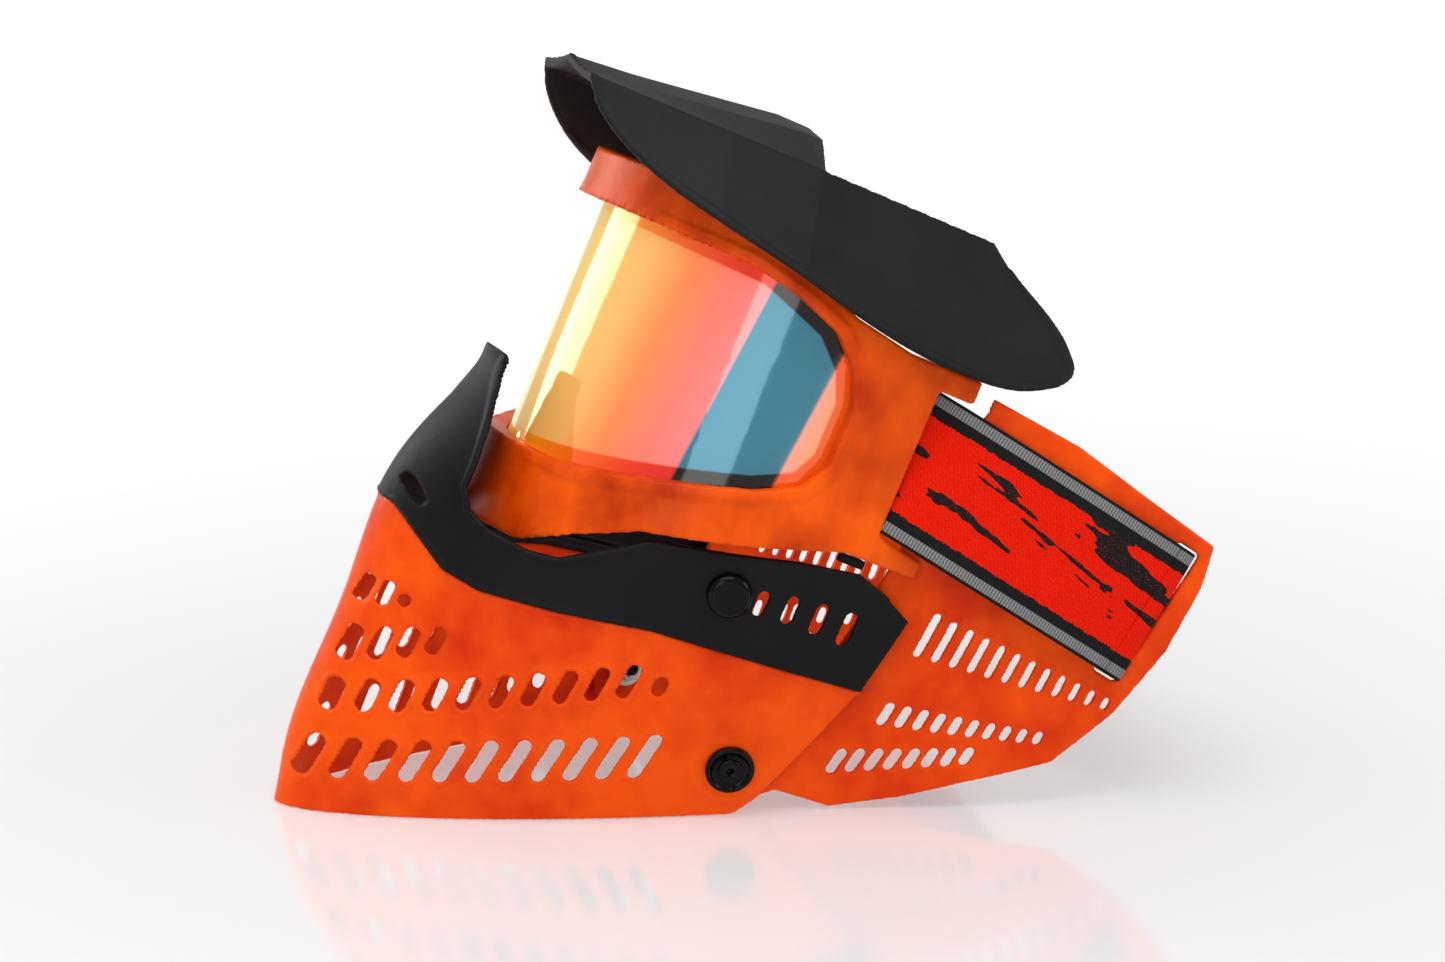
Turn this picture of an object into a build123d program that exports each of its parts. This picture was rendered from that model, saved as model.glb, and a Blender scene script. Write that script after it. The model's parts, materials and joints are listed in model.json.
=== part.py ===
from build123d import *
import os
from math import sin, cos, radians, sqrt

os.makedirs("parts", exist_ok=True)

# ---------------------------------------------------------------- driving sizes, mm
TILT = 24.0            # the mask rests on its chin rim, leaning back by this angle
STRAP_TILT = 33.8      # the strap drops a little more than the goggle axis
Y0 = 8.6               # puts the origin under the middle of the whole mask
STRAP_W = 50.0         # elastic webbing, two inches
STRAP_T = 2.0
STRAP_MID = 122.3      # height of the strap's middle on its own tilted axis
LENS_R = 81.0          # outer face of the outer lens
LENS_T = 1.5
GAP = 2.5              # air between the two panes, sealed by the gasket
LENS_Q = -36.0         # centre of the lens cylinder, along the goggle's depth
LENS_FIT = 0.3         # room for the lens in its groove
FRAME_SIDE = 6.0       # frame beyond the lens at each side
FRAME_NOSE = 9.0       # frame beyond the lens in front
FRAME_WALL = 10.5      # how thick the frame's side walls are
FOAM_FIT = 0.5         # glue line between frame and foam
GUARD_T = 2.2          # moulded guard wall
VISOR_T = 2.4
CHIN_Y = -165.0        # foremost point of the chin rim
GUARD_REAR = 45.0      # where the guard walls run straight back
EAR_T = 2.4
HINGE_Q = 11.0         # line on which the flexible ears bend outward
STRAP_FIT = 1.0        # room above and below the webbing in a window
SCREW_AT = (-20, 18)   # ear screw, back from the front and up
BUTTON_AT = (-23, 80)
SCREW_R = 2.5
STEM_R = 2.4           # snap button stem
SPAN = LENS_R + 70.0   # longer than half the width, for cuts through both sides
FRAME_A = LENS_R + FRAME_SIDE            # half width of the goggle frame
FRAME_B = LENS_R + FRAME_NOSE            # depth of the frame's front curve
FORE = LENS_Q - FRAME_B - 14.0           # a line just ahead of the goggle

st = sin(radians(TILT))
ct = cos(radians(TILT))
ss = sin(radians(STRAP_TILT))
cs = cos(radians(STRAP_TILT))

SIDE = Plane(origin=(0, Y0, 0), x_dir=(0, 1, 0), z_dir=(1, 0, 0))
HEAD = Plane(origin=(0, Y0, 0), x_dir=(1, 0, 0), z_dir=(0, st, ct))
HEAD_SIDE = Plane(origin=(0, Y0, 0), x_dir=(0, ct, -st), z_dir=(1, 0, 0))
STRAP = Plane(origin=(0, Y0, 0), x_dir=(1, 0, 0), z_dir=(0, ss, cs))
STRAP_SIDE = Plane(origin=(0, Y0, 0), x_dir=(0, cs, -ss), z_dir=(1, 0, 0))


# ---------------------------------------------------------------- shared shapes
def lerp(table, v):
    """Straight-line reading of a short table of (value, result) rows."""
    for (a, fa), (b, fb) in zip(table, table[1:]):
        if v <= b or (b, fb) == table[-1]:
            return fa + (fb - fa) * (v - a) / (b - a)


def guard_front(z):
    """Foremost point of the lower guard at a height."""
    return lerp([(-15, CHIN_Y - 6), (0, CHIN_Y), (106, CHIN_Y + 44), (156, CHIN_Y + 83)], z)


def guard_half(z):
    """Half width of the lower guard, well back, at a height."""
    return FRAME_A + lerp([(-15, -20), (0, -16), (60, -1), (110, 3), (156, 5)], z)


def guard_x(y, z, inset=0.0):
    """Half width of the lower guard's skin at a depth and a height."""
    front = guard_front(z) + inset * 1.15
    t = max(0.0, min(1.0, (y - front) / (GUARD_REAR - front)))
    return (guard_half(z) - inset) * (1 - (1 - t) ** 1.7) ** (1 / 1.7)


def skin_frame(side, y, z, inset):
    """Plane on the guard skin, facing straight out of it."""
    x = guard_x(y, z, inset)
    dy = (guard_x(y + 1, z, inset) - guard_x(y - 1, z, inset)) / 2
    dz = (guard_x(y, z + 1, inset) - guard_x(y, z - 1, inset)) / 2
    return Plane(origin=(side * x, Y0 + y, z), x_dir=(side * dy, 1, 0), z_dir=(side, -dy, -dz))


def guard_hull(inset, mode=Mode.ADD):
    """Solid nose-to-jaw form of the lower guard, drawn in by inset."""
    sections = []
    for z in (-15, 20, 55, 85, 106, 128, 156):
        front = guard_front(z) + inset * 1.15
        half = []
        for t in (0.02, 0.08, 0.2, 0.4, 0.65, 1.0):
            y = front + (GUARD_REAR - front) * t
            half.append((guard_x(y, z, inset), y))
        with BuildSketch(Plane(origin=(0, Y0, z))) as section:
            with BuildLine():
                left = [(-x, y) for x, y in reversed(half)]
                bow = Spline(left + [(0, front)] + half)
                back = GUARD_REAR + 30
                Polyline(bow @ 1, (half[-1][0], back), (-half[-1][0], back), bow @ 0)
            make_face()
        sections.append(section.sketch.face())
    loft(sections=sections, mode=mode)


def trim(plane, points, mode=Mode.INTERSECT):
    """Cut through both sides with an outline seen from the side."""
    with BuildSketch(plane) as outline:
        with BuildLine():
            Polyline(points, close=True)
        make_face()
    extrude(outline.sketch, amount=SPAN, both=True, mode=mode)


def trim_round(plane, points, mode=Mode.INTERSECT):
    """The same with a flowing closed outline."""
    with BuildSketch(plane) as outline:
        with BuildLine():
            Spline(points, periodic=True)
        make_face()
    extrude(outline.sketch, amount=SPAN, both=True, mode=mode)


def bow_solid(half, depth, low, high, back, mode=Mode.ADD):
    """Goggle-shaped plan (rounded front, straight sides) raised along the goggle axis."""
    with BuildSketch(HEAD.offset(low)) as plan:
        with Locations((0, LENS_Q)):
            Ellipse(half, depth)
            Rectangle(2 * half, back, align=(Align.CENTER, Align.MIN))
        with Locations((0, LENS_Q + back)):
            Rectangle(3 * half, 300, align=(Align.CENTER, Align.MIN), mode=Mode.SUBTRACT)
    extrude(plan.sketch, amount=high - low, mode=mode)


def slots(plane, rows, mode=Mode.SUBTRACT):
    """Slanted vents through both sides: rows of (across, up, length, width, angle)."""
    with BuildSketch(plane) as vents:
        for a, b, length, width, angle in rows:
            with Locations(Location((a, b), angle)):
                SlotOverall(length, width)
    extrude(vents.sketch, amount=SPAN, both=True, mode=mode)


def row(start, end, count, length, length_end, width, angle):
    """Evenly spaced vents between two points, lengths changing evenly."""
    out = []
    for i in range(count):
        f = i / (count - 1)
        a = start[0] + (end[0] - start[0]) * f
        b = start[1] + (end[1] - start[1]) * f
        out.append((a, b, length + (length_end - length) * f, width, angle))
    return out


def save(shape, label):
    shape.label = label
    export_step(shape, "parts/" + label + ".step")


def one_side(side):
    """Keep only the wearer's left (+1) or right (-1) half."""
    with Locations((side * 100, 0, 100)):
        Box(200, 800, 800, mode=Mode.INTERSECT)


# ---------------------------------------------------------------- goggle
FRAME_LINE = [(FORE, 182), (-112, 184), (-80, 175), (-52, 164), (-30, 160), (-3, 160), (-3, 152),
              (-16, 152), (-16, 100), (2, 97), (2, 91), (-25, 91), (-60, 80), (-88, 72), (-104, 62),
              (-116, 52), (FORE, 50)]
LENS_LINE = [(FORE, 169), (-112, 170), (-88, 170), (-70, 166), (-54, 160), (-44, 150), (-39, 137),
             (-39, 115), (-44, 103), (-60, 96), (-84, 88), (-104, 81), (-114, 77), (FORE, 77)]
VIEW_LINE = [(FORE, 166), (-112, 167), (-88, 167), (-71, 163), (-56, 157), (-47, 148), (-42, 136),
             (-42, 116), (-47, 106), (-61, 99), (-85, 91), (-105, 84), (-113, 81), (FORE, 81)]

with BuildPart() as goggle_frame:
    bow_solid(FRAME_A, FRAME_B, 40, 195, 60)
    bow_solid(FRAME_A - FRAME_WALL, FRAME_B - FRAME_WALL - 3.5, 40, 195, 60, mode=Mode.SUBTRACT)
    trim(HEAD_SIDE, FRAME_LINE)
    trim(HEAD_SIDE, VIEW_LINE, mode=Mode.SUBTRACT)
    with BuildPart(mode=Mode.SUBTRACT):
        bow_solid(LENS_R + LENS_FIT, LENS_R + LENS_FIT, 40, 195, 0.1)
        trim(HEAD_SIDE, [(q + (0.4 if q > FORE + 1 else 0), s + (0.4 if s > 125 else -0.4))
                         for q, s in LENS_LINE])
    for side in (-1, 1):
        with Locations(HEAD.location * Location((side * (FRAME_A - 7), 10, 126))):
            Box(9.4, 52, 80, mode=Mode.SUBTRACT)
        with Locations(STRAP.location * Location((side * (FRAME_A - 6.8), -42, STRAP_MID))):
            Box(9.2, 25, STRAP_W + 2 * STRAP_FIT, mode=Mode.SUBTRACT)
save(goggle_frame.part, "goggle_frame")


def lens(r_out, r_in, grow, label):
    with BuildPart() as pane:
        bow_solid(r_out, r_out, 40, 195, 0.1)
        bow_solid(r_in, r_in, 30, 200, 0.2, mode=Mode.SUBTRACT)
        line = [(q - (grow if q > FORE + 1 else 0), s - (grow if s > 125 else -grow))
                for q, s in LENS_LINE]
        trim(HEAD_SIDE, line)
    save(pane.part, label)
    return pane.part


lens(LENS_R, LENS_R - LENS_T, 0.0, "lens_outer")
lens(LENS_R - GAP - LENS_T, LENS_R - GAP - 2 * LENS_T, 1.0, "lens_inner")
with BuildPart() as lens_gasket:
    bow_solid(LENS_R - LENS_T - 0.1, LENS_R - LENS_T - 0.1, 40, 195, 0.1)
    bow_solid(LENS_R - GAP - LENS_T + 0.1, LENS_R - GAP - LENS_T + 0.1, 30, 200, 0.2, mode=Mode.SUBTRACT)
    trim(HEAD_SIDE, [(q - (1.2 if q > FORE + 1 else 0), s - (1.2 if s > 125 else -1.2))
                     for q, s in LENS_LINE])
    trim(HEAD_SIDE, [(q - (5.5 if q > FORE + 1 else 0), s - (5.5 if s > 125 else -5.5))
                     for q, s in LENS_LINE], mode=Mode.SUBTRACT)
save(lens_gasket.part, "lens_gasket")

FOAM_LINE = [(FORE, 178), (-108, 179), (-78, 173), (-52, 162), (-33, 156), (-22, 154), (-22, 98),
             (-30, 95), (-60, 84), (-88, 76), (-108, 72), (FORE, 72)]
FOAM_A = FRAME_A - FRAME_WALL - FOAM_FIT
FOAM_B = FRAME_B - FRAME_WALL - 3.5 - FOAM_FIT
for label, a_out, b_out, a_in, b_in in (("foam_base", FOAM_A, FOAM_B, FOAM_A - 5, FOAM_B - 6.5),
                                        ("face_foam", FOAM_A - 5.2, FOAM_B - 6.7, FOAM_A - 16,
                                         FOAM_B - 19.5)):
    with BuildPart() as foam:
        bow_solid(a_out, b_out, 50, 190, 30)
        bow_solid(a_in, b_in, 40, 195, 31, mode=Mode.SUBTRACT)
        trim(HEAD_SIDE, FOAM_LINE)
        trim(HEAD_SIDE, [(q + (4 if q > FORE + 1 else 0), s + (3 if s > 125 else -3))
                         for q, s in VIEW_LINE], mode=Mode.SUBTRACT)
        with BuildPart(mode=Mode.SUBTRACT):
            inside = LENS_R - GAP - 2 * LENS_T - LENS_FIT
            bow_solid(LENS_R + LENS_FIT, LENS_R + LENS_FIT, 40, 195, 0.1)
            bow_solid(inside, inside, 30, 200, 0.2, mode=Mode.SUBTRACT)
            trim(HEAD_SIDE, [(q + (0.4 if q > FORE + 1 else 0), s + (0.4 if s > 125 else -0.4))
                             for q, s in LENS_LINE])
    save(foam.part, label)

# ---------------------------------------------------------------- lower guard
SEAM = [(-120, 104), (-115, 95), (-109, 85), (-99, 79), (-75, 73), (-47, 67.5), (-16, 57), (22, 44)]
CHEEK_TOP = [(29, 77), (20, 85), (0, 90), (-23, 93.5), (-47, 98), (-62, 94), (-75, 91), (-84, 93),
             (-95, 99), (-100, 105), (-100, 112), (-93, 126), (-84.5, 142), (-80, 151), (-81.5, 153.5), (-95, 153.5),
             (-130, 125)]

with BuildPart() as chin_guard:
    guard_hull(0.0)
    trim(SIDE, [(-200, 0), (-17, 0), (-10, 5), (22, 44)] + SEAM[-2::-1] + [(-200, 112)])
    guard_hull(GUARD_T, mode=Mode.SUBTRACT)
    slots(SIDE, row((-151, 19), (-48, 23), 11, 16, 18, 5.0, 62))
    slots(SIDE, row((-143, 40), (-54, 50), 10, 12, 13, 4.8, 63))
    slots(SIDE, [(-44, 48, 7, 4.6, 63)])
    slots(SIDE, row((-136, 57), (-112, 61), 4, 13, 10, 4.2, 62))
    slots(SIDE, [(-130, 75, 10, 3.4, 62), (-125, 74.5, 9, 3.4, 62), (-120, 73, 4.5, 3.2, 62)])
    for side in (-1, 1):
        spot = skin_frame(side, *SCREW_AT, 0)
        with BuildSketch(spot.offset(-1.6)):
            Circle(13)
        extrude(amount=2.0)
        with BuildSketch(spot.offset(-6)):
            Circle(SCREW_R + 0.06)
        extrude(amount=12, mode=Mode.SUBTRACT)
save(chin_guard.part, "chin_guard")

with BuildPart() as cheek_guard:
    guard_hull(-1.0)
    trim(SIDE, [(-132, 105.3)] + [(y, z + 0.3) for y, z in SEAM] + [(37, 68)] + CHEEK_TOP)
    with BuildPart():
        guard_hull(GUARD_T + 0.6)
        trim(SIDE, [(-112, 96)] + [(y, z - 10) for y, z in SEAM[1:-1]] + [(16, 38), (20, 50)]
             + [(y, z + 3) for y, z in SEAM[-2:0:-1]])
    guard_hull(GUARD_T + 2.4, mode=Mode.SUBTRACT)
    with BuildPart(mode=Mode.SUBTRACT):
        guard_hull(1.4)
        trim(SIDE, [(-160, 112)] + [(y, z + 5) for y, z in SEAM[:-1]] + [(50, 44), (50, 170), (-160, 170)])
    slots(SIDE, [(-12.5, 76.5, 9, 3.6, 68), (-3, 74, 10, 3.8, 68), (6.5, 70.5, 11, 4.0, 68),
                 (16, 66.5, 12, 4.2, 68)])
    slots(SIDE, [(-114, 109, 9, 4.0, 105)])
    for side in (-1, 1):
        with BuildSketch(skin_frame(side, *BUTTON_AT, -1.0).offset(-6)):
            Circle(STEM_R + 0.06)
        extrude(amount=12, mode=Mode.SUBTRACT)
save(cheek_guard.part, "cheek_guard")


# ---------------------------------------------------------------- ears
EAR_LINE = [(66, 142), (95, 125), (121, 105), (144, 88), (140, 74), (128, 52), (110, 31), (89, 15),
            (59, 9), (39, 4), (16, 0.6), (8, 3.5), (-2, 7), (-12, 4), (-30, 11), (-30, 29), (-16, 37),
            (12, 50), (24, 70), (36, 92), (49, 115), (57, 130), (64, 137)]
STRAP_SLOT = (63, 8 + STRAP_T, STRAP_W + 1.6 * STRAP_FIT)   # where the strap goes in through each ear


def ear_hull(inset, mode=Mode.ADD):
    """Both ears as one wide form, open in the middle of the head."""
    sections = []
    for z, steps in ((-10, (-27.2, -18.6, -8, -3, -1)), (70, (-19.2, -9, 1, 6, 8)),
                     (155, (-13, -6, 0, 5, 7))):
        half = [(FRAME_A + x - inset, y) for x, y in zip(steps, (-34, 25, 60, 100, 155))]
        with BuildSketch(Plane(origin=(0, Y0, z))) as section:
            with BuildLine():
                right = Spline(half)
                left = Spline([(-x, y) for x, y in half])
                Line(right @ 0, left @ 0)
                Line(right @ 1, left @ 1)
            make_face()
        sections.append(section.sketch.face())
    loft(sections=sections, mode=mode)


for side, name in ((1, "left"), (-1, "right")):
    with BuildPart() as ear:
        ear_hull(0)
        trim(SIDE, EAR_LINE)
        ear_hull(EAR_T, mode=Mode.SUBTRACT)
        slots(SIDE, row((45, 62), (107, 35), 12, 17, 5, 3.2, 64))
        slots(SIDE, row((33, 34), (84, 24), 10, 9, 5, 3.2, 62))
        slots(SIDE, row((18, 17), (60, 18.5), 8, 10, 7, 3.6, 60))
        with BuildSketch(STRAP_SIDE) as way_in:
            with Locations((STRAP_SLOT[0], STRAP_MID)):
                RectangleRounded(STRAP_SLOT[1], STRAP_SLOT[2], 1.5)
        extrude(amount=SPAN, both=True, mode=Mode.SUBTRACT)
        one_side(side)
    with BuildPart() as root:
        add(ear.part)
        trim(HEAD_SIDE, [(-100, -60), (HINGE_Q - 0.2, -60), (HINGE_Q - 0.2, 220), (-100, 220)])
        with BuildSketch(skin_frame(side, *SCREW_AT, 0).offset(-15)):
            Circle(SCREW_R + 0.5)
        extrude(amount=25, mode=Mode.SUBTRACT)
    save(root.part, "ear_root_" + name)
    with BuildPart() as flap:
        add(ear.part)
        trim(HEAD_SIDE, [(HINGE_Q + 0.2, -60), (200, -60), (200, 220), (HINGE_Q + 0.2, 220)])
    save(flap.part, "ear_guard_" + name)

# ---------------------------------------------------------------- visor
with BuildPart() as visor:
    for inset, mode in ((0, Mode.ADD), (VISOR_T, Mode.SUBTRACT)):
        for q, w, top, low in ((-175, 18, 206, -64), (-150, 29, 208, -49), (-128, 40, 210, -22),
                               (-105, 51, 213, 3), (-75, 64, 217, 13),
                               (40, FRAME_A - 11, 217, 17)):
            with BuildSketch(Plane(HEAD.location * Location((0, q, 0), (90, 0, 0)))):
                with BuildLine():
                    low_x = FRAME_A + low - inset
                    w_x = w - inset * 0.5
                    Polyline((low_x, 150), (w_x, 204 - inset), (w_x * 0.55, top - 3 - inset),
                             (0, top - inset), (-w_x * 0.55, top - 3 - inset),
                             (-w_x, 204 - inset), (-low_x, 150), close=True)
                make_face()
        loft(ruled=True, mode=mode)
    trim_round(HEAD_SIDE, [(-153, 212), (-150, 203), (-146, 196), (-138, 189), (-125, 182),
                           (-88, 172.5), (-35, 161.5), (-8, 160.5), (15, 166), (24, 174), (14, 187),
                           (-3, 197), (-25, 216), (-90, 228), (-150, 222)])
    with BuildSketch(HEAD.offset(240)) as gap:
        with BuildLine():
            Polyline((-63, -74), (0, -62), (63, -74), (FRAME_A - 12.5, 41), (12.5 - FRAME_A, 41),
                     close=True)
        make_face()
    extrude(gap.sketch, amount=-75, mode=Mode.SUBTRACT)
save(visor.part, "visor")


# ---------------------------------------------------------------- strap
STRAP_STEPS = [(-6.2, -47), (-4.8, -40), (-3.6, -35), (1.2, -28), (5.4, -12), (8.8, 10),
               (10.7, 38), (11.0, 52), (10.6, 58)]
STRAP_PATH = [(FRAME_A + x, q) for x, q in STRAP_STEPS]
BACK_Q = 67.0
BACK_PATH = [(FRAME_A + 10.4, 58.8), (FRAME_A + 8.8, 62.6), (FRAME_A + 4.5, 65.8),
             (FRAME_A - 2, 66.9), (FRAME_A - 11, BACK_Q), (FRAME_A - 21, BACK_Q),
             (55, BACK_Q), (40, BACK_Q), (20, BACK_Q), (0.3, BACK_Q)]


def band(points, side):
    """Webbing on edge: constant thickness about a plan line, on the wearer's left or right."""
    faces = []
    for push in (0.5, -0.5):
        line = []
        for i, (x, q) in enumerate(points):
            ax, aq = points[max(0, i - 1)]
            bx, bq = points[min(len(points) - 1, i + 1)]
            size = sqrt((bx - ax) ** 2 + (bq - aq) ** 2)
            line.append((side * (x + push * STRAP_T * (bq - aq) / size),
                         q - push * STRAP_T * (bx - ax) / size))
        faces.append(line)
    with BuildSketch(STRAP.offset(STRAP_MID - STRAP_W / 2)) as plan:
        with BuildLine():
            outer = Spline(faces[0])
            inner = Spline(faces[1])
            Line(outer @ 0, inner @ 0)
            Line(outer @ 1, inner @ 1)
        make_face()
    extrude(plan.sketch, amount=STRAP_W)


for side, name in ((1, "left"), (-1, "right")):
    with BuildPart() as strap_front:
        band(STRAP_PATH, side)
        trim(HEAD_SIDE, [(-100, -60), (HINGE_Q - 0.2, -60), (HINGE_Q - 0.2, 220), (-100, 220)])
    save(strap_front.part, "strap_front_" + name)
    with BuildPart() as strap_side:
        band(STRAP_PATH, side)
        trim(HEAD_SIDE, [(HINGE_Q + 0.2, -60), (200, -60), (200, 220), (HINGE_Q + 0.2, 220)])
    save(strap_side.part, "strap_side_" + name)
    with BuildPart() as strap_back:
        band(BACK_PATH, side)
    save(strap_back.part, "strap_back_" + name)
    with BuildPart() as strap_bar:
        with Locations(STRAP.location * Location((side * (FRAME_A - 7.5), -49.8, STRAP_MID))):
            Cylinder(1.5, STRAP_W - 2)
    save(strap_bar.part, "strap_bar_" + name)

SLIDER_X = 42.0
for side, name in ((1, "left"), (-1, "right")):
    with BuildPart() as strap_slider:
        with Locations(STRAP.location * Location((side * SLIDER_X, BACK_Q, STRAP_MID))):
            Box(20, STRAP_T + 4.0, STRAP_W + 8)
            Box(30, STRAP_T + 1.2, STRAP_W + 1.6 * STRAP_FIT, mode=Mode.SUBTRACT)
        with Locations(STRAP.location * Location((side * (SLIDER_X - 5.2), BACK_Q + 3, STRAP_MID)),
                       STRAP.location * Location((side * (SLIDER_X + 5.2), BACK_Q + 3, STRAP_MID))):
            Box(4.6, 6, STRAP_W, mode=Mode.SUBTRACT)
    save(strap_slider.part, "strap_slider_" + name)

# ---------------------------------------------------------------- screws, buttons, clips
HEAD_R = 8.3
BUTTON_R = 7.6
for side, name in ((1, "left"), (-1, "right")):
    spot = skin_frame(side, *SCREW_AT, 0)
    with BuildPart() as screw:
        with BuildSketch(spot.offset(0.5)):
            Circle(HEAD_R)
        extrude(amount=2.2)
        fillet(screw.faces().sort_by(Axis(spot.origin, spot.z_dir))[-1].edges(), 0.6)
        with BuildSketch(spot.offset(2.1)):
            Circle(HEAD_R - 1.5)
        extrude(amount=2, mode=Mode.SUBTRACT)
        with BuildSketch(spot.offset(2.1)):
            Circle(4.2)
        extrude(amount=1.1)
        fillet(screw.faces().sort_by(Axis(spot.origin, spot.z_dir))[-1].edges(), 0.9)
        with BuildSketch(spot.offset(1.2)):
            RegularPolygon(1.7, 6)
        extrude(amount=4, mode=Mode.SUBTRACT)
        with BuildSketch(spot.offset(0.5)):
            Circle(SCREW_R)
        extrude(amount=-16.0)
    save(screw.part, "ear_screw_" + name)
    with BuildPart() as washer:
        with BuildSketch(spot.offset(-7.0 - EAR_T)):
            Circle(6.5)
            Circle(SCREW_R + 0.08, mode=Mode.SUBTRACT)
        extrude(amount=-0.8)
    save(washer.part, "ear_washer_" + name)
    with BuildPart() as nut:
        with BuildSketch(spot.offset(-8.0 - EAR_T)):
            RegularPolygon(4.6, 6)
            Circle(SCREW_R + 0.05, mode=Mode.SUBTRACT)
        extrude(amount=-4)
    save(nut.part, "ear_nut_" + name)
    rest = skin_frame(side, *BUTTON_AT, -1.0)
    with BuildPart() as button:
        with BuildSketch(rest.offset(0.4)):
            Circle(BUTTON_R)
        extrude(amount=3.4)
        fillet(button.faces().sort_by(Axis(rest.origin, rest.z_dir))[-1].edges(), 2.8)
        with BuildSketch(rest.offset(0.4)):
            Circle(STEM_R)
        extrude(amount=-6.6)
    save(button.part, "snap_button_" + name)
    with BuildPart() as socket:
        with BuildSketch(rest.offset(-3.4)):
            Circle(5.5)
            Circle(STEM_R + 0.06, mode=Mode.SUBTRACT)
        extrude(amount=-3)
    save(socket.part, "snap_socket_" + name)
    with BuildPart() as visor_clip:
        with Locations(HEAD.location * Location((side * (FRAME_A + 1.5), -8, 163))):
            Box(2.4, 10, 4)
    save(visor_clip.part, "visor_clip_" + name)
    with BuildPart() as frame_clip:
        with Locations(HEAD.location * Location((side * (FRAME_A - 5), -20, 89))):
            Box(4, 9, 3)
    save(frame_clip.part, "frame_clip_" + name)
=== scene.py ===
# %% [markdown]
# # A goggle mask in Blender
#
# A full-face mask for field sports: a hard goggle frame with a mirrored lens,
# a soft orange chin guard and ear guards full of vents, a black nose and
# cheek guard, a clip-on visor and a printed elastic strap. The exact model
# comes in as a fixed frame, and every piece built here sits on it.

# %% Load the frame
import json
from math import cos, pi, radians, sin, sqrt
import bpy
import numpy as np
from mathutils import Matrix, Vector

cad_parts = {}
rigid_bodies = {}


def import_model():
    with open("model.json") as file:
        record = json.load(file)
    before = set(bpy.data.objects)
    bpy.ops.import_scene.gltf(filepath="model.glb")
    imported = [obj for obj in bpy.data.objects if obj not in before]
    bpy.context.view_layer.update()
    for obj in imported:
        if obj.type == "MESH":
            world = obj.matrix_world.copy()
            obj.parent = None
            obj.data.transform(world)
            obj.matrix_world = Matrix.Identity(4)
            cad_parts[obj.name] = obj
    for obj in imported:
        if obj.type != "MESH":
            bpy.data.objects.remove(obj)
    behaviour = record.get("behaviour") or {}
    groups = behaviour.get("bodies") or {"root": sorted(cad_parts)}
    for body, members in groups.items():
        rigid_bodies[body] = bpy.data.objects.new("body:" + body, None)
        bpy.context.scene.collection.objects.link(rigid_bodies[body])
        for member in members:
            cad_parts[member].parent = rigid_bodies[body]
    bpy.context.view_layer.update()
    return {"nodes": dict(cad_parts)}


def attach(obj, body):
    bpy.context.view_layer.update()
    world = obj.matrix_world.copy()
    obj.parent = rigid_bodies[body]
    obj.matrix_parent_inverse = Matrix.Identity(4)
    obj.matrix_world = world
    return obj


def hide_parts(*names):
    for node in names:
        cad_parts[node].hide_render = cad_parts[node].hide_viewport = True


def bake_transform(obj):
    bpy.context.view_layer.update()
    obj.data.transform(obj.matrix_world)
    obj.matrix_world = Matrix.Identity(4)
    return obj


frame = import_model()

nodes = frame["nodes"]

# %% [markdown]
# ## The mask's own axes
#
# The mask stands on its chin rim and leans back, so the goggle has a tilted
# axis of its own. Most of the shapes are simple when they are written in
# (across, back, up) of that axis, and these helpers turn them into the
# upright frame, in metres.

# %% Tilted axes
MM = 0.001
CENTRE_BACK = 8.6
GOGGLE_TILT = radians(24.0)
STRAP_TILT = radians(33.8)


def tilted(x, back, up, tilt):
    return Vector((x * MM,
                   (CENTRE_BACK + back * cos(tilt) + up * sin(tilt)) * MM,
                   (-back * sin(tilt) + up * cos(tilt)) * MM))


def goggle_point(x, back, up):
    return tilted(x, back, up, GOGGLE_TILT)


def strap_point(x, back, up):
    return tilted(x, back, up, STRAP_TILT)


print("goggle centre:", goggle_point(0, -36, 125))

# %% [markdown]
# ## The camera comes first
#
# A long lens from the wearer's left front, a little above the mask, keeps the
# sides nearly parallel.

# %% Camera
CAMERA_SIDE = radians(72.0)
CAMERA_UP = radians(12.0)
DISTANCE = 1.25
LOOK_AT = Vector((0, CENTRE_BACK * MM, 0.101))

bpy.ops.object.select_all(action="DESELECT")
bpy.ops.object.camera_add()
camera = bpy.context.object
camera.name = "studio_camera"
camera.location = LOOK_AT + Vector((DISTANCE * sin(CAMERA_SIDE), -DISTANCE * cos(CAMERA_SIDE),
                                    DISTANCE * sin(CAMERA_UP) / cos(CAMERA_UP)))
camera.rotation_euler = (LOOK_AT - camera.location).to_track_quat("-Z", "Y").to_euler()
camera.data.sensor_width = 36.0
camera.data.lens = 91.1
camera.data.clip_end = 20
bpy.context.scene.camera = camera
print("camera at", tuple(round(v, 3) for v in camera.location))

# %% [markdown]
# ## A white studio
#
# The floor is glossy white and runs off to white, so the mask stands on its
# own faint reflection. A big soft light overhead, one at the side and a low
# one behind light the translucent shells from all round.

# %% Floor and light
bpy.ops.mesh.primitive_plane_add(size=14, location=(0, 0, -0.0004))
floor = bpy.context.object
floor.name = "floor"


def soft_light(name, spot, size, power, aim=(0, 0, 0.12), tint=(1, 1, 1)):
    bpy.ops.object.light_add(type="AREA", location=spot)
    lamp = bpy.context.object
    lamp.name = name
    lamp.data.shape = "RECTANGLE"
    lamp.data.size, lamp.data.size_y = size
    lamp.data.energy = power
    lamp.data.color = tint
    lamp.rotation_euler = (Vector(aim) - Vector(spot)).to_track_quat("-Z", "Y").to_euler()
    return lamp


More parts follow.
